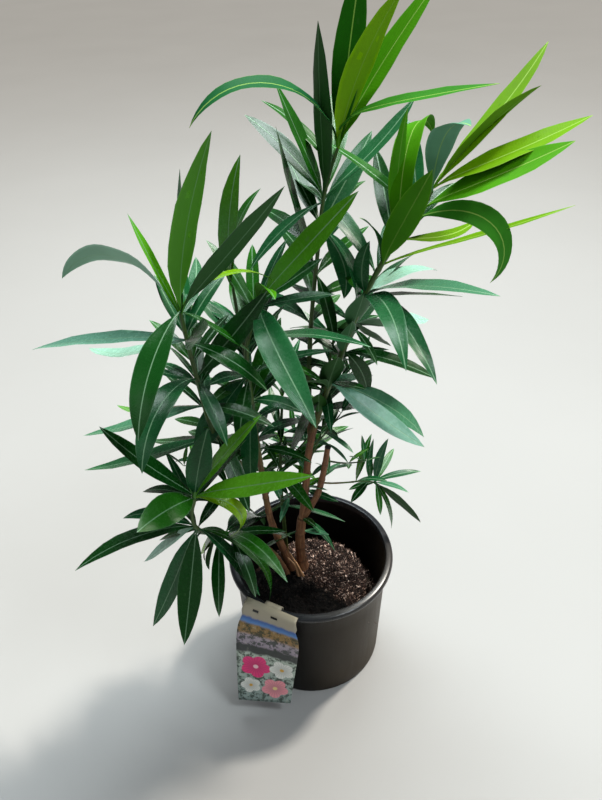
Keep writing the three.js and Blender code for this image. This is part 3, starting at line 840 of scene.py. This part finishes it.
def make_pot(plastic):
    pot = object_of("nursery_pot", lathe("nursery_pot", pot_outline(), POT_FACETS), plastic)
    places, faces = [], []
    for i in range(DRAINS):
        centre = Vector(toward(30 + 360 * i / DRAINS) * DRAIN_CIRCLE)
        low = len(places)
        high = low + DRAIN_FACETS
        for z in (-4 * MM, 8 * MM):
            places += [centre + Vector(place) for place in circle(DRAIN_RADIUS, z, DRAIN_FACETS)]
        faces += band(low, high, DRAIN_FACETS)
        faces += [tuple(reversed(range(low, high))), tuple(range(high, high + DRAIN_FACETS))]
    punches = object_of("drain_punches", mesh_of("drain_punches", places, faces, False), plastic)
    punch = pot.modifiers.new("drains", "BOOLEAN")
    punch.object, punch.solver = punches, "EXACT"
    settled(pot)
    bpy.data.objects.remove(punches)
    return pot


def pot_look(tree):
    """Satin black plastic with painted floor light at its right front and dust near the foot."""
    place = tree.place()
    side, depth, z = place.axes()
    cloud = tree.noise(place, 9.0, 4.0)
    scuffs = tree.noise(tree.stretched(place, (1.0, 1.0, 0.12)), 130.0, 4.0)
    fine = tree.noise(place, 1400.0, 2.0)
    dust = z.step(0.1, 0.0) * cloud.step(0.35, 0.75)
    front = depth.step(0.07, -0.03)
    # Painted light: the right front is lightened to warm brown as if the sunlit floor lit it.
    painted_floor_light = side.step(-0.04, 0.13) * front * (0.75 + cloud * 0.5)
    lip = z.step(POT_HEIGHT - LIP_HEIGHT, POT_HEIGHT - LIP_HEIGHT + 2 * MM)
    color = tree.blend(scuffs.step(0.5, 0.75) * 0.35, (0.004, 0.0036, 0.003),
                       (0.018, 0.015, 0.0115))
    color = tree.blend(painted_floor_light * 0.55, color, (0.11, 0.083, 0.055))
    color = tree.blend(dust * 0.45, color, (0.075, 0.058, 0.04))
    # Painted reflection: the lip is tinted blue-grey as if it reflected the sky.
    color = tree.blend(lip * 0.6, color, (0.022, 0.026, 0.032))
    return {
        "Base Color": color,
        "Roughness": 0.34 + scuffs * 0.18 + dust * 0.2 - lip * 0.14,
        "Normal": tree.bump(fine * 0.6 + scuffs * 0.4, 0.00025, 0.5),
        "Specular IOR Level": 0.12,
        "Coat Weight": lip * 0.6,
        "Coat Roughness": 0.24,
    }


# The soil
SOIL_TOP = 172 * MM
TRENCH_DEPTH = 70 * MM
ROOT_BALL_RADIUS = 90 * MM
ROOT_BALL_CENTRE = np.array((4, -14)) * MM
HOLLOW_CENTRE = (-22 * MM, -32 * MM)
HOLLOW_DEPTH = 9 * MM
HOLLOW_SPREAD = 260e-6
SOIL_RINGS = 64
SOIL_FACETS = 128


def smoothstep(value, low, high):
    share = np.clip((value - low) / (high - low), 0, 1)
    return share * share * (3 - 2 * share)


def soil_height(x, y):
    """The mound of the root ball, with the deep gap behind and right of it."""
    across, along = x - ROOT_BALL_CENTRE[0], y - ROOT_BALL_CENTRE[1]
    away = math.hypot(across, along) / ROOT_BALL_RADIUS
    angle = math.degrees(math.atan2(along, across))
    behind = smoothstep(angle, -60, -15) * (1 - smoothstep(angle, 140, 175))
    edge = smoothstep(away, 0.9, 1.22)
    off_centre = (x - HOLLOW_CENTRE[0]) ** 2 + (y - HOLLOW_CENTRE[1]) ** 2
    hollow = HOLLOW_DEPTH * math.exp(-off_centre / HOLLOW_SPREAD)
    lumps = math.sin(x * 130 + 1) * math.cos(y * 110)
    clods = noise.fractal(Vector((x * 75, y * 75, 3)), 0.6, 2.1, 5)
    return (SOIL_TOP + 3 * MM * (1 - away * away) + (2.4 * lumps + 4.6 * clods) * MM - hollow
            - (1 - behind) * 10 * MM * edge - behind * TRENCH_DEPTH * edge)


def soil_mesh():
    """A closed body of soil, its top marked for the crumbs that lie on it."""
    rings, facets = SOIL_RINGS, SOIL_FACETS
    places = [(0, 0, soil_height(0, 0))]
    for i in range(1, rings + 1):
        for k in range(facets):
            turn = 2 * math.pi * k / facets
            r = (NECK_RADIUS - 2 * WALL) * i / rings
            z = soil_height(r * math.cos(turn), r * math.sin(turn))
            r = (wall_radius(z) - WALL - 0.5 * MM) * i / rings
            places.append((r * math.cos(turn), r * math.sin(turn), z))

    def at(ring, turn):
        return 1 + (ring - 1) * facets + turn % facets

    faces = [(0, at(1, k), at(1, k + 1)) for k in range(facets)]
    faces += [(at(i, k), at(i + 1, k), at(i + 1, k + 1), at(i, k + 1))
              for i in range(1, rings) for k in range(facets)]
    top = len(faces)
    low = len(places)
    places += circle(FOOT_RADIUS - WALL - 4 * MM, FLOOR + 0.4 * MM, facets)
    faces += [(at(rings, k), low + k, low + (k + 1) % facets, at(rings, k + 1))
              for k in range(facets)]
    faces.append(tuple(low + k for k in reversed(range(facets))))
    mesh = mesh_of("soil_body", places, faces)
    mark = mesh.attributes.new("surface", "FLOAT", "FACE")
    mark.data.foreach_set("value", [1.0] * top + [0.0] * (len(faces) - top))
    return mesh


def crumb_scatter():
    """Crumbs and fibres of peat that lie about on the marked surface."""
    tree = Growth("crumb_scatter", crumbs=130000.0, fibres=230000.0, crumb_size=2.3 * MM,
                  fibre_length=8.0 * MM, seed=4)
    marked = tree.read("surface")
    seed = tree.given.part("seed")

    def chance(low, high, offset):
        return tree.add("FunctionNodeRandomValue", {"data_type": "FLOAT"},
                        {"Min": low, "Max": high, "Seed": seed + float(offset)})

    def scattered(density, offset, instance, flat, turn, palest):
        points = tree.add("GeometryNodeDistributePointsOnFaces", {},
                          {"Mesh": tree.given, "Selection": marked, "Density": density,
                           "Seed": seed + float(offset)})
        points = tree.keep(points, "tone", chance(palest, 1.0, offset + 1))
        spin = tree.vector(chance(-turn, turn, offset + 2), chance(-turn, turn, offset + 3),
                           chance(0.0, 6.3, offset + 4))
        size = chance(0.0, 1.0, offset + 5) ** 2.0 * 0.78 + 0.22
        scale = tree.vector(size * chance(0.5, 1.9, offset + 6), size, size * flat)
        return tree.add("GeometryNodeInstanceOnPoints", {},
                        {"Points": points, "Instance": instance, "Rotation": spin,
                         "Scale": scale})

    crumb = tree.add("GeometryNodeMeshIcoSphere", {}, {"Radius": tree.given.part("crumb_size"),
                                                       "Subdivisions": 1})
    fibre = tree.add("GeometryNodeMeshCone", {}, {"Vertices": 3, "Radius Top": 0.0001,
                                                  "Radius Bottom": 0.0005,
                                                  "Depth": tree.given.part("fibre_length")})
    joined = tree.add("GeometryNodeJoinGeometry")
    for strewn in (scattered(tree.given.part("crumbs"), 10, crumb, 0.6, 1.2, 0.0),
                   scattered(tree.given.part("fibres"), 30, fibre, 1.0, 1.6, 0.35)):
        tree.own.links.new(strewn.out, joined.node.inputs[0])
    tree.close(joined)
    return tree


def soil_look(tree, crumbs):
    """Dark fibrous peat with painted shade over its front; crumbs carry their own tone."""
    place = tree.place()
    grain = tree.noise(place, 420.0, 5.0, 0.65)
    patch_cloud = tree.noise(place, 22.0, 3.0)
    tone = tree.carried("tone") if crumbs else grain * 0.7
    color = tree.ramp(tone, (0.0, (0.005, 0.004, 0.0035)), (0.6, (0.026, 0.0145, 0.0115)),
                      (0.82, (0.115, 0.062, 0.046)), (0.91, (0.41, 0.27, 0.21)),
                      (1.0, (0.92, 0.7, 0.58)))
    side, along, _ = place.axes()
    # Painted shade: the front of the soil is darkened to near black as if the leaves shaded it.
    outside_painted_shade = (along + side * 0.8 + (patch_cloud - 0.5) * 0.04).step(-0.034, -0.006)
    color = tree.lit(color, (0.55 + patch_cloud.step(0.3, 0.7) * 0.7) * (0.04 + outside_painted_shade * 1.36))
    return {
        "Base Color": color,
        "Roughness": 0.82 + grain * 0.15,
        "Specular IOR Level": 0.2,
        "Normal": tree.bump(grain, 0.0012, 0.8),
    }


# The label
LABEL_TURN = -118
LABEL_TWIST = 22
LABEL_DISTANCE = 126.5
LABEL_SHIFT = -2
LABEL_DROP = 196
LABEL_THICKNESS = 0.7
LABEL_BEND = 1.6
LABEL_REACH = 9.5
LABEL_SLOPE = 0.18
LABEL_CURL = 2.2
TONGUE_HALF_WIDTH = 14
# Along the tongue: how far out and how far above the fold, and the slots' four sides
TONGUE_ROUTE = ((0.6, -0.25), (-5, 0.3), (-9, -3), (-10, -17.5))
SLOTS = [(-0.62, -0.4, 0.035, 0.06), (0.05, 0.3, 0.035, 0.06)]
LABEL_HALF_WIDTH = [(0, 44), (0.03, 45), (0.075, 47), (0.12, 45), (0.2, 50), (0.3, 51.5),
                    (0.45, 50), (0.7, 46.5), (1, 43)]


def label_place(across, out, height, twist=0.0):
    """A place on the label, whose lower end turns to face the front."""
    middle = toward(LABEL_TURN) * (LABEL_DISTANCE + out) + toward(LABEL_TURN + 90) * LABEL_SHIFT
    sideways = toward(LABEL_TURN + twist + 90)
    return (middle + sideways * across + np.array((0, 0, height))) * MM


def label_sheet(name, stations, spans, place, holes=(), shown=1.0):
    """A sheet over a grid of stations and spans, with grid cells left out as holes."""
    count = len(spans)
    places = [place(u, v) for v in stations for u in spans]
    faces = []
    for j in range(len(stations) - 1):
        for i in range(count - 1):
            u, v = (spans[i] + spans[i + 1]) / 2, (stations[j] + stations[j + 1]) / 2
            if any(l < u < r and b < v < t for l, r, b, t in holes):
                continue
            a = j * count + i
            faces.append((a, a + count, a + count + 1, a + 1))
    mesh = mesh_of(name, places, faces)
    spot = mesh.uv_layers.new(name="print").uv
    uv = [(u, v) for v in stations for u in spans]
    for loop in mesh.loops:
        across, down = uv[loop.vertex_index]
        spot[loop.index].vector = ((across + 1) / 2, down * shown)
    return mesh


def make_label(card):
    """The card with two punched slots and a tongue that hooks inside the rim."""
    fold = POT_HEIGHT / MM + LABEL_THICKNESS

    def panel_place(u, v):
        drop = v * LABEL_DROP
        out = LABEL_REACH * (1 - math.exp(-drop / LABEL_BEND)) + LABEL_SLOPE * drop
        curl = LABEL_CURL * math.sin(v * math.pi) * (u * u)
        half = np.interp(v, *zip(*LABEL_HALF_WIDTH))
        return label_place(u * half, out + curl, fold - drop, LABEL_TWIST * v ** 0.8)

    def tongue_place(u, v):
        out, drop = (np.interp(v * 3, range(4), axis) for axis in zip(*TONGUE_ROUTE))
        return label_place(u * TONGUE_HALF_WIDTH, out, fold + drop)

    spans = sorted({*SLOTS[0][:2], *SLOTS[1][:2], *(round(i / 12 - 1, 4) for i in range(25))})
    stations = [0, 0.004, 0.011, 0.02, 0.035, 0.06, 0.08, 0.1, 0.12, *np.linspace(0.15, 1, 24)]
    parts = [
        label_sheet("plant_label_card", stations, spans, panel_place, SLOTS),
        label_sheet("label_tongue", np.linspace(0, 1, 10), np.linspace(-1, 1, 5), tongue_place,
                    shown=0.08),
    ]
    made = []
    for mesh in parts:
        piece = object_of(mesh.name, mesh, card)
        wall = piece.modifiers.new("thickness", "SOLIDIFY")
        wall.thickness, wall.offset = LABEL_THICKNESS * MM, 0.0
        made.append(settled(piece))
    return made


def label_look(tree):
    """A printed card: plain bands above, simple flowers on green below."""
    uv = tree.add("ShaderNodeUVMap", {"uv_map": "print"})
    u, v, _ = uv.axes()
    wobble = tree.noise(uv, 7.0, 3.0)
    speck = tree.noise(uv, 60.0, 4.0)
    level = v + (wobble - 0.5) * 0.05
    bands = tree.ramp(
        level, (0.0, (0.42, 0.37, 0.27)), (0.11, (0.4, 0.36, 0.28)), (0.13, (0.04, 0.12, 0.4)),
        (0.165, (0.1, 0.26, 0.58)), (0.19, (0.3, 0.18, 0.05)), (0.27, (0.34, 0.2, 0.07)),
        (0.3, (0.42, 0.36, 0.42)), (0.38, (0.36, 0.3, 0.37)), (0.4, (0.045, 0.05, 0.05)),
        (0.46, (0.05, 0.055, 0.055)), (0.48, (0.5, 0.58, 0.5)), (1.0, (0.28, 0.38, 0.36)))
    blotch = tree.noise(tree.stretched(uv, (1.0, 1.9, 1.0)), 9.0, 6.0, 0.72)
    pictured = v.step(0.17, 0.2) - v.step(0.39, 0.4) * 0.75 + v.step(0.46, 0.48) * 0.75
    color = tree.blend(blotch.step(0.47, 0.56) * pictured * 0.85, bands, (0.012, 0.03, 0.014))
    color = tree.blend(blotch.step(0.42, 0.34) * pictured * 0.5, color, (0.5, 0.5, 0.4))

    def flower(centre, size, petals, tone, heart, twist):
        nonlocal color
        x, y = (u - centre[0]) * 0.46, v - centre[1]
        away = (x * x + y * y) ** 0.5
        angle = tree.math("ARCTAN2", y, x)
        lobes = 0.74 + abs((angle * (petals / 2) + twist).sine()) * 0.26
        shape = (away / (lobes * size)).step(1.04, 0.97)
        veined = (away / size).step(0.1, 0.95) * 0.6 + (angle * 23.0).sine() * 0.2 + speck * 0.4
        petal = tree.blend(veined, tuple(c * 0.62 for c in tone), tone)
        color = tree.blend(shape, color, petal)
        color = tree.blend((away / size).step(0.2, 0.14), color, heart)

    flower((0.24, 0.82), 0.085, 5, (0.86, 0.88, 0.82), (0.7, 0.4, 0.05), 0.1)
    flower((0.68, 0.83), 0.115, 5, (0.95, 0.36, 0.42), (0.9, 0.7, 0.3), 0.9)
    flower((0.32, 0.61), 0.12, 5, (0.9, 0.04, 0.23), (0.95, 0.6, 0.65), 1.3)
    flower((0.77, 0.6), 0.1, 5, (0.88, 0.9, 0.84), (0.7, 0.4, 0.05), 0.4)
    return {
        "Base Color": color,
        "Roughness": 0.38 + speck * 0.1,
        "Normal": tree.bump(wobble, 0.0006, 0.3),
    }


def torn_slivers():
    """Pale slivers of torn wood between the feet of the two old stems."""
    routes = [[(-16, -8, 168), (-22, -11, 196), (-34, -11, 232)],
              [(-20, -9, 168), (-28, -12, 205), (-38, -12, 222)],
              [(-13, -9, 168), (-19, -12, 192), (-26, -12, 214)]]
    return [limb_line(route, 3.2, 0.9, (0, 0), nodes=90 * MM) for route in routes]


def torn_look(tree):
    """Pale orange wood, fresh where it tore."""
    grain = tree.carried("grain", "Vector")
    streaks = tree.noise(tree.stretched(grain, (1.0, 1.0, 0.06)), 700.0, 3.0)
    color = tree.ramp(streaks, (0.25, (0.42, 0.17, 0.06)), (0.75, (0.85, 0.5, 0.27)))
    return {"Base Color": color, "Roughness": 0.6 + streaks * 0.2,
            "Normal": tree.bump(streaks, 0.0004, 0.6)}


# Finishes
young_leaf = finish("young_leaf", leaf_look, gloss=0.42, shine=0.05,
                    rib_color=(0.36, 0.56, 0.12))
mature_leaf = finish("mature_leaf", leaf_look, gloss=0.22, shine=0.36,
                     rib_color=(0.24, 0.42, 0.25))
bark = finish("shrub_bark", bark_look)
torn_wood = finish("torn_wood", torn_look)
pot_plastic = finish("pot_plastic", pot_look)
peat = finish("peat_body", soil_look, crumbs=False)
peat_crumbs = finish("peat_crumbs", soil_look, crumbs=True)
card = finish("label_card", label_look)

# The limbs
bark_growth = bark_sweep()
for name, line in lines.items():
    limb = bark_growth.grow(name + "_bark", threads(name, [line]), material=bark)
    wooden = name in ("main_stem", "left_stem", "cut_branch", "low_shoot", "right_bough")
    hand_over(limb, "woody_bark" if wooden else "green_bark", name)
slivers = bark_growth.grow("torn_slivers", threads("torn", torn_slivers()),
                           material=torn_wood, section_points=6)
hand_over(slivers, "woody_bark")

# The leaves: those read off the plant, then the far side and the weak shoots by rule
chance = random.Random(SEED)
leaf_growth = leaf_sweep()
back = []
for limb, count, long in (("back_stem", 4, 140), ("rear_bough", 3, 145)):
    back += whorls(lines[limb]["place"], lines[limb]["run"], 2 * MM, count, long, chance,
                   OLD_TINTS, 44, 0.14)
shoots = [side_shoot(spec, chance) for spec in SIDE_SHOOTS]
ready = {"back_leaves": back, "small_leaves": [leaf for _, leaves in shoots for leaf in leaves]}
# Of each spray: its shoots and which heights of LEAVES it takes there, the shoots that
# end in it with a bud, what far_leaves adds and the nodes that the spray replaces
SPRAYS = {
    "top_young_leaves": ({"top_bough": (865,)}, ("top_bough",), (), ("top_head",)),
    "top_leaves": ({"top_bough": (801, 761, 702)}, (), ("top_bough", 840, 560),
                   ("top_whorl", "top_skirt")),
    "right_young_leaves": ({"right_bough": (834, 808, 795, 767, 735)}, ("right_bough",), (),
                           ("right_head", "right_whorl")),
    "right_leaves": ({"right_bough": (691, 647, 602, 551, 498)}, (), ("right_bough", 800, 500),
                     ("right_crown", "right_skirt", "right_foot")),
    "centre_leaves": ({"left_stem": None, "inner_bough": None}, ("left_stem", "inner_bough"),
                      ("left_stem", 680, 440, 115, 3),
                      ("centre_head", "centre_whorl", "centre_foot", "inner_head")),
    "left_leaves": ({"left_bough": None}, ("left_bough",), ("left_bough", 690, 490, 105, 3),
                    ("left_head", "left_whorl", "left_skirt")),
    "low_leaves": ({"low_shoot": None}, ("low_shoot",), ("low_shoot", 440, 350, 100),
                   ("low_head", "low_whorl", "low_skirt")),
    "back_leaves": ({"back_stem": None}, ("back_stem", "rear_bough"), (),
                    ("back_head", "rear_head")),
    "side_leaves": ({"side_twig": None, "main_stem": None}, (), (), ("side_tuft",)),
    "small_leaves": ({}, (), (), ()),
}
for name, (seen, buds, far, nodes) in SPRAYS.items():
    leaves = ready.get(name, [])
    for limb, heights in seen.items():
        leaves += seen_leaves(limb, chance, heights)
    for limb in buds:
        leaves += bud(limb, chance)
    if far:
        leaves += far_leaves(chance, *far)
    slot, look = ("young_leaf", young_leaf) if "young" in name else ("mature_leaf", mature_leaf)
    hand_over(leaf_growth.grow(name, threads(name, leaves), material=look), slot, *nodes)
twigs = bark_growth.grow("side_shoot_twigs", threads("twigs", [twig for twig, _ in shoots]),
                         material=bark, section_points=8)
hand_over(twigs, "green_bark")

# Pot, soil and label
hand_over(make_pot(pot_plastic), "pot_plastic", "pot")
body = soil_mesh()
scatter = crumb_scatter()
loose = [scatter.grow("soil_crumbs", body.copy(), material=peat_crumbs, fibres=0.0),
         scatter.grow("soil_fibres", body.copy(), material=peat_crumbs, crumbs=0.0)]
hand_over(object_of("soil_body", body, peat), "peat_soil", "soil")
for piece in loose:
    hand_over(piece, "peat_soil")
panel, tongue = make_label(card)
hand_over(panel, "label_card", "plant_label")
hand_over(tongue, "label_card")


# Floor, light and camera
def floor_look(tree):
    """Pale matt backdrop with the least cloudiness."""
    cloud = tree.noise(tree.place(), 1.5, 3.0)
    return {"Base Color": tree.blend(cloud, (0.39, 0.382, 0.37), (0.43, 0.422, 0.41)),
            "Roughness": 0.85}


FLOOR_REACH = 30
corners = [(x * FLOOR_REACH, y * FLOOR_REACH, 0) for x, y in ((-1, -1), (1, -1), (1, 1), (-1, 1))]
floor = object_of("floor", mesh_of("floor", corners, [(0, 1, 2, 3)], False),
                  finish("floor", floor_look))


def light_up(name, kind, place, turned, power, color, **shape):
    """A lamp at a place, turned by a quaternion."""
    data = bpy.data.lights.new(name, kind)
    data.energy, data.color = power, color
    for key, value in shape.items():
        setattr(data, key, value)
    matrix = Matrix.Translation(place) @ turned.to_matrix().to_4x4()
    placed(name, data).matrix_world = matrix


def area_light(name, place, target, width, depth, power, color):
    """An elliptical lamp that shines from its place at a target."""
    turned = (Vector(target) - Vector(place)).to_track_quat("-Z", "Y")
    light_up(name, "AREA", place, turned, power, color, shape="ELLIPSE", size=width,
             size_y=depth)


light_up("key", "SUN", (0, 0, 0), Vector((0.62, 0.5, 1.15)).to_track_quat("Z", "Y"), 3.1,
         (1.0, 0.95, 0.86), angle=math.radians(6))
area_light("sheen", (0.05, 1.12, 3.28), (0, 0, 0.6), 1.9, 1.25, 115, (0.88, 0.97, 1.0))
area_light("sky", (1.35, -0.87, 2.85), (0.1, 0, 0.5), 0.8, 0.8, 34, (0.86, 0.95, 1.0))
area_light("fill", (-1.4, -1.9, 2.2), (0, 0, 0.4), 1.4, 1.4, 5, (0.95, 0.98, 1.0))

world = bpy.data.worlds.new("studio")
world.use_nodes = True
backdrop = world.node_tree.nodes["Background"].inputs
backdrop["Color"].default_value = (0.9, 0.95, 1.0, 1.0)
backdrop["Strength"].default_value = 0.16
bpy.context.scene.world = world
bpy.context.scene.view_settings.view_transform = "Standard"

EYE = Vector((-0.0097, -0.7655, 1.1135))
LOOK_DOWN = math.radians(37.07)
LEAN = math.radians(-1.44)
FOCAL_LENGTH = 31.284

forward = Vector((0, math.cos(LOOK_DOWN), -math.sin(LOOK_DOWN)))
level, steep = Vector((1, 0, 0)), Vector((0, math.sin(LOOK_DOWN), math.cos(LOOK_DOWN)))
right = level * math.cos(LEAN) + steep * math.sin(LEAN)
upward = steep * math.cos(LEAN) - level * math.sin(LEAN)
lens = bpy.data.cameras.new("camera")
lens.lens, lens.sensor_width = FOCAL_LENGTH, 36.0
lens.clip_start, lens.clip_end = 0.02, 200.0
camera = placed("camera", lens)
turned = Matrix((right, upward, -forward)).transposed().to_4x4()
camera.matrix_world = Matrix.Translation(EYE) @ turned
bpy.context.scene.camera = camera
